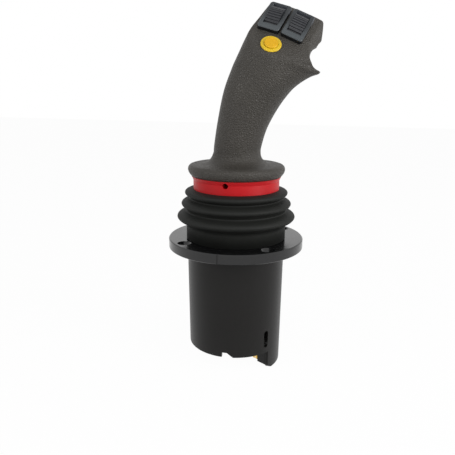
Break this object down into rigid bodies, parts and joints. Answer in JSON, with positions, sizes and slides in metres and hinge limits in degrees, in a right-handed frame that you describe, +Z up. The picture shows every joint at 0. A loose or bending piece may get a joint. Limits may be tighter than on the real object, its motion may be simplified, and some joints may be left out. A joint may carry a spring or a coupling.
{
  "type": "industrial joystick",
  "caption": "Two-axis panel joystick: leaning hand grip with thumb rollers and push button on a sprung lever, with rubber boot, round flange and sensor housing below the panel.",
  "frame": {"origin": "centre of the flange underside, on the panel face", "axes": "+Z up the lever, +X the way the grip leans, -Y towards the operator"},
  "size_m": [0.1117, 0.105, 0.2759],
  "materials": {
    "flange_black": "black anodised, gloss",
    "shell_black": "satin",
    "boot_rubber": "matte",
    "collar_red": "red, satin",
    "grip_grey": "fine grain",
    "frame_slate": "satin",
    "roller_black": "satin",
    "button_yellow": "gloss",
    "switch_black": "matte",
    "steel": "turned",
    "black_screw": "black oxide",
    "spring_steel": "drawn wire",
    "bronze": "sintered",
    "alloy": "machined",
    "board_green": "solder resist",
    "connector_white": "moulded",
    "terminal_brass": "stamped",
    "magnet_grey": "nickel plated"
  },
  "bodies": {
    "base": {"mounting_flange": "flange_black", "body_shell": "shell_black", "gimbal_yoke": "alloy", "yoke_screws": "steel", "yoke_bushes": "bronze", "fore_aft_springs": "spring_steel", "base_plate": "shell_black", "tie_bolts": "steel", "sensor_board": "board_green", "board_standoffs": "alloy", "board_screws": "steel", "hall_sensor": "switch_black", "connector_housing": "connector_white", "connector_terminals": "terminal_brass", "rubber_boot": "boot_rubber"},
    "gimbal": {"gimbal_ring": "alloy", "gimbal_pins": "steel", "gimbal_bushes": "bronze", "side_springs": "spring_steel"},
    "lever": {"lever_shaft": "steel", "cross_pin": "steel", "magnet_holder": "switch_black", "sensor_magnet": "magnet_grey", "grip_collar": "collar_red", "collar_set_screws": "black_screw", "grip_front_shell": "grip_grey", "grip_rear_shell": "grip_grey", "grip_screws": "black_screw", "left_switch_frame": "frame_slate", "right_switch_frame": "frame_slate", "roller_axles": "steel", "thumb_button_ring": "button_yellow", "thumb_button_body": "switch_black", "thumb_button_spring": "spring_steel"},
    "left_roller": {"left_thumb_roller": "roller_black"},
    "right_roller": {"right_thumb_roller": "roller_black"},
    "thumb_button": {"thumb_button_cap": "button_yellow"}
  },
  "joints": [
    {"name": "fore_aft_tilt", "type": "hinge", "parent": "base", "child": "gimbal", "pos_m": [0, 0, -0.016], "axis": [1, 0, 0], "range_deg": [-18, 18], "stiffness_Nm_per_rad": 6, "deforming": ["rubber_boot", "fore_aft_springs"]},
    {"name": "side_tilt", "type": "hinge", "parent": "gimbal", "child": "lever", "pos_m": [0, 0, -0.016], "axis": [0, 1, 0], "range_deg": [-18, 18], "stiffness_Nm_per_rad": 6, "deforming": ["rubber_boot", "side_springs"]},
    {"name": "left_roller_turn", "type": "hinge", "parent": "lever", "child": "left_roller", "pos_m": [0.02526, 0.008, 0.16296], "axis": [0.9579, -0.0647, -0.2798], "range_deg": [-18, 18], "stiffness_Nm_per_rad": 0.15},
    {"name": "right_roller_turn", "type": "hinge", "parent": "lever", "child": "right_roller", "pos_m": [0.04029, 0.008, 0.1575], "axis": [0.9136, 0.0647, -0.4014], "range_deg": [-18, 18], "stiffness_Nm_per_rad": 0.15},
    {"name": "thumb_button_press", "type": "slide", "parent": "lever", "child": "thumb_button", "axis": [-0.228, 0.707, -0.6694], "range_m": [0, 0.0015], "stiffness_N_per_m": 1500, "deforming": ["thumb_button_spring"]}
  ]
}
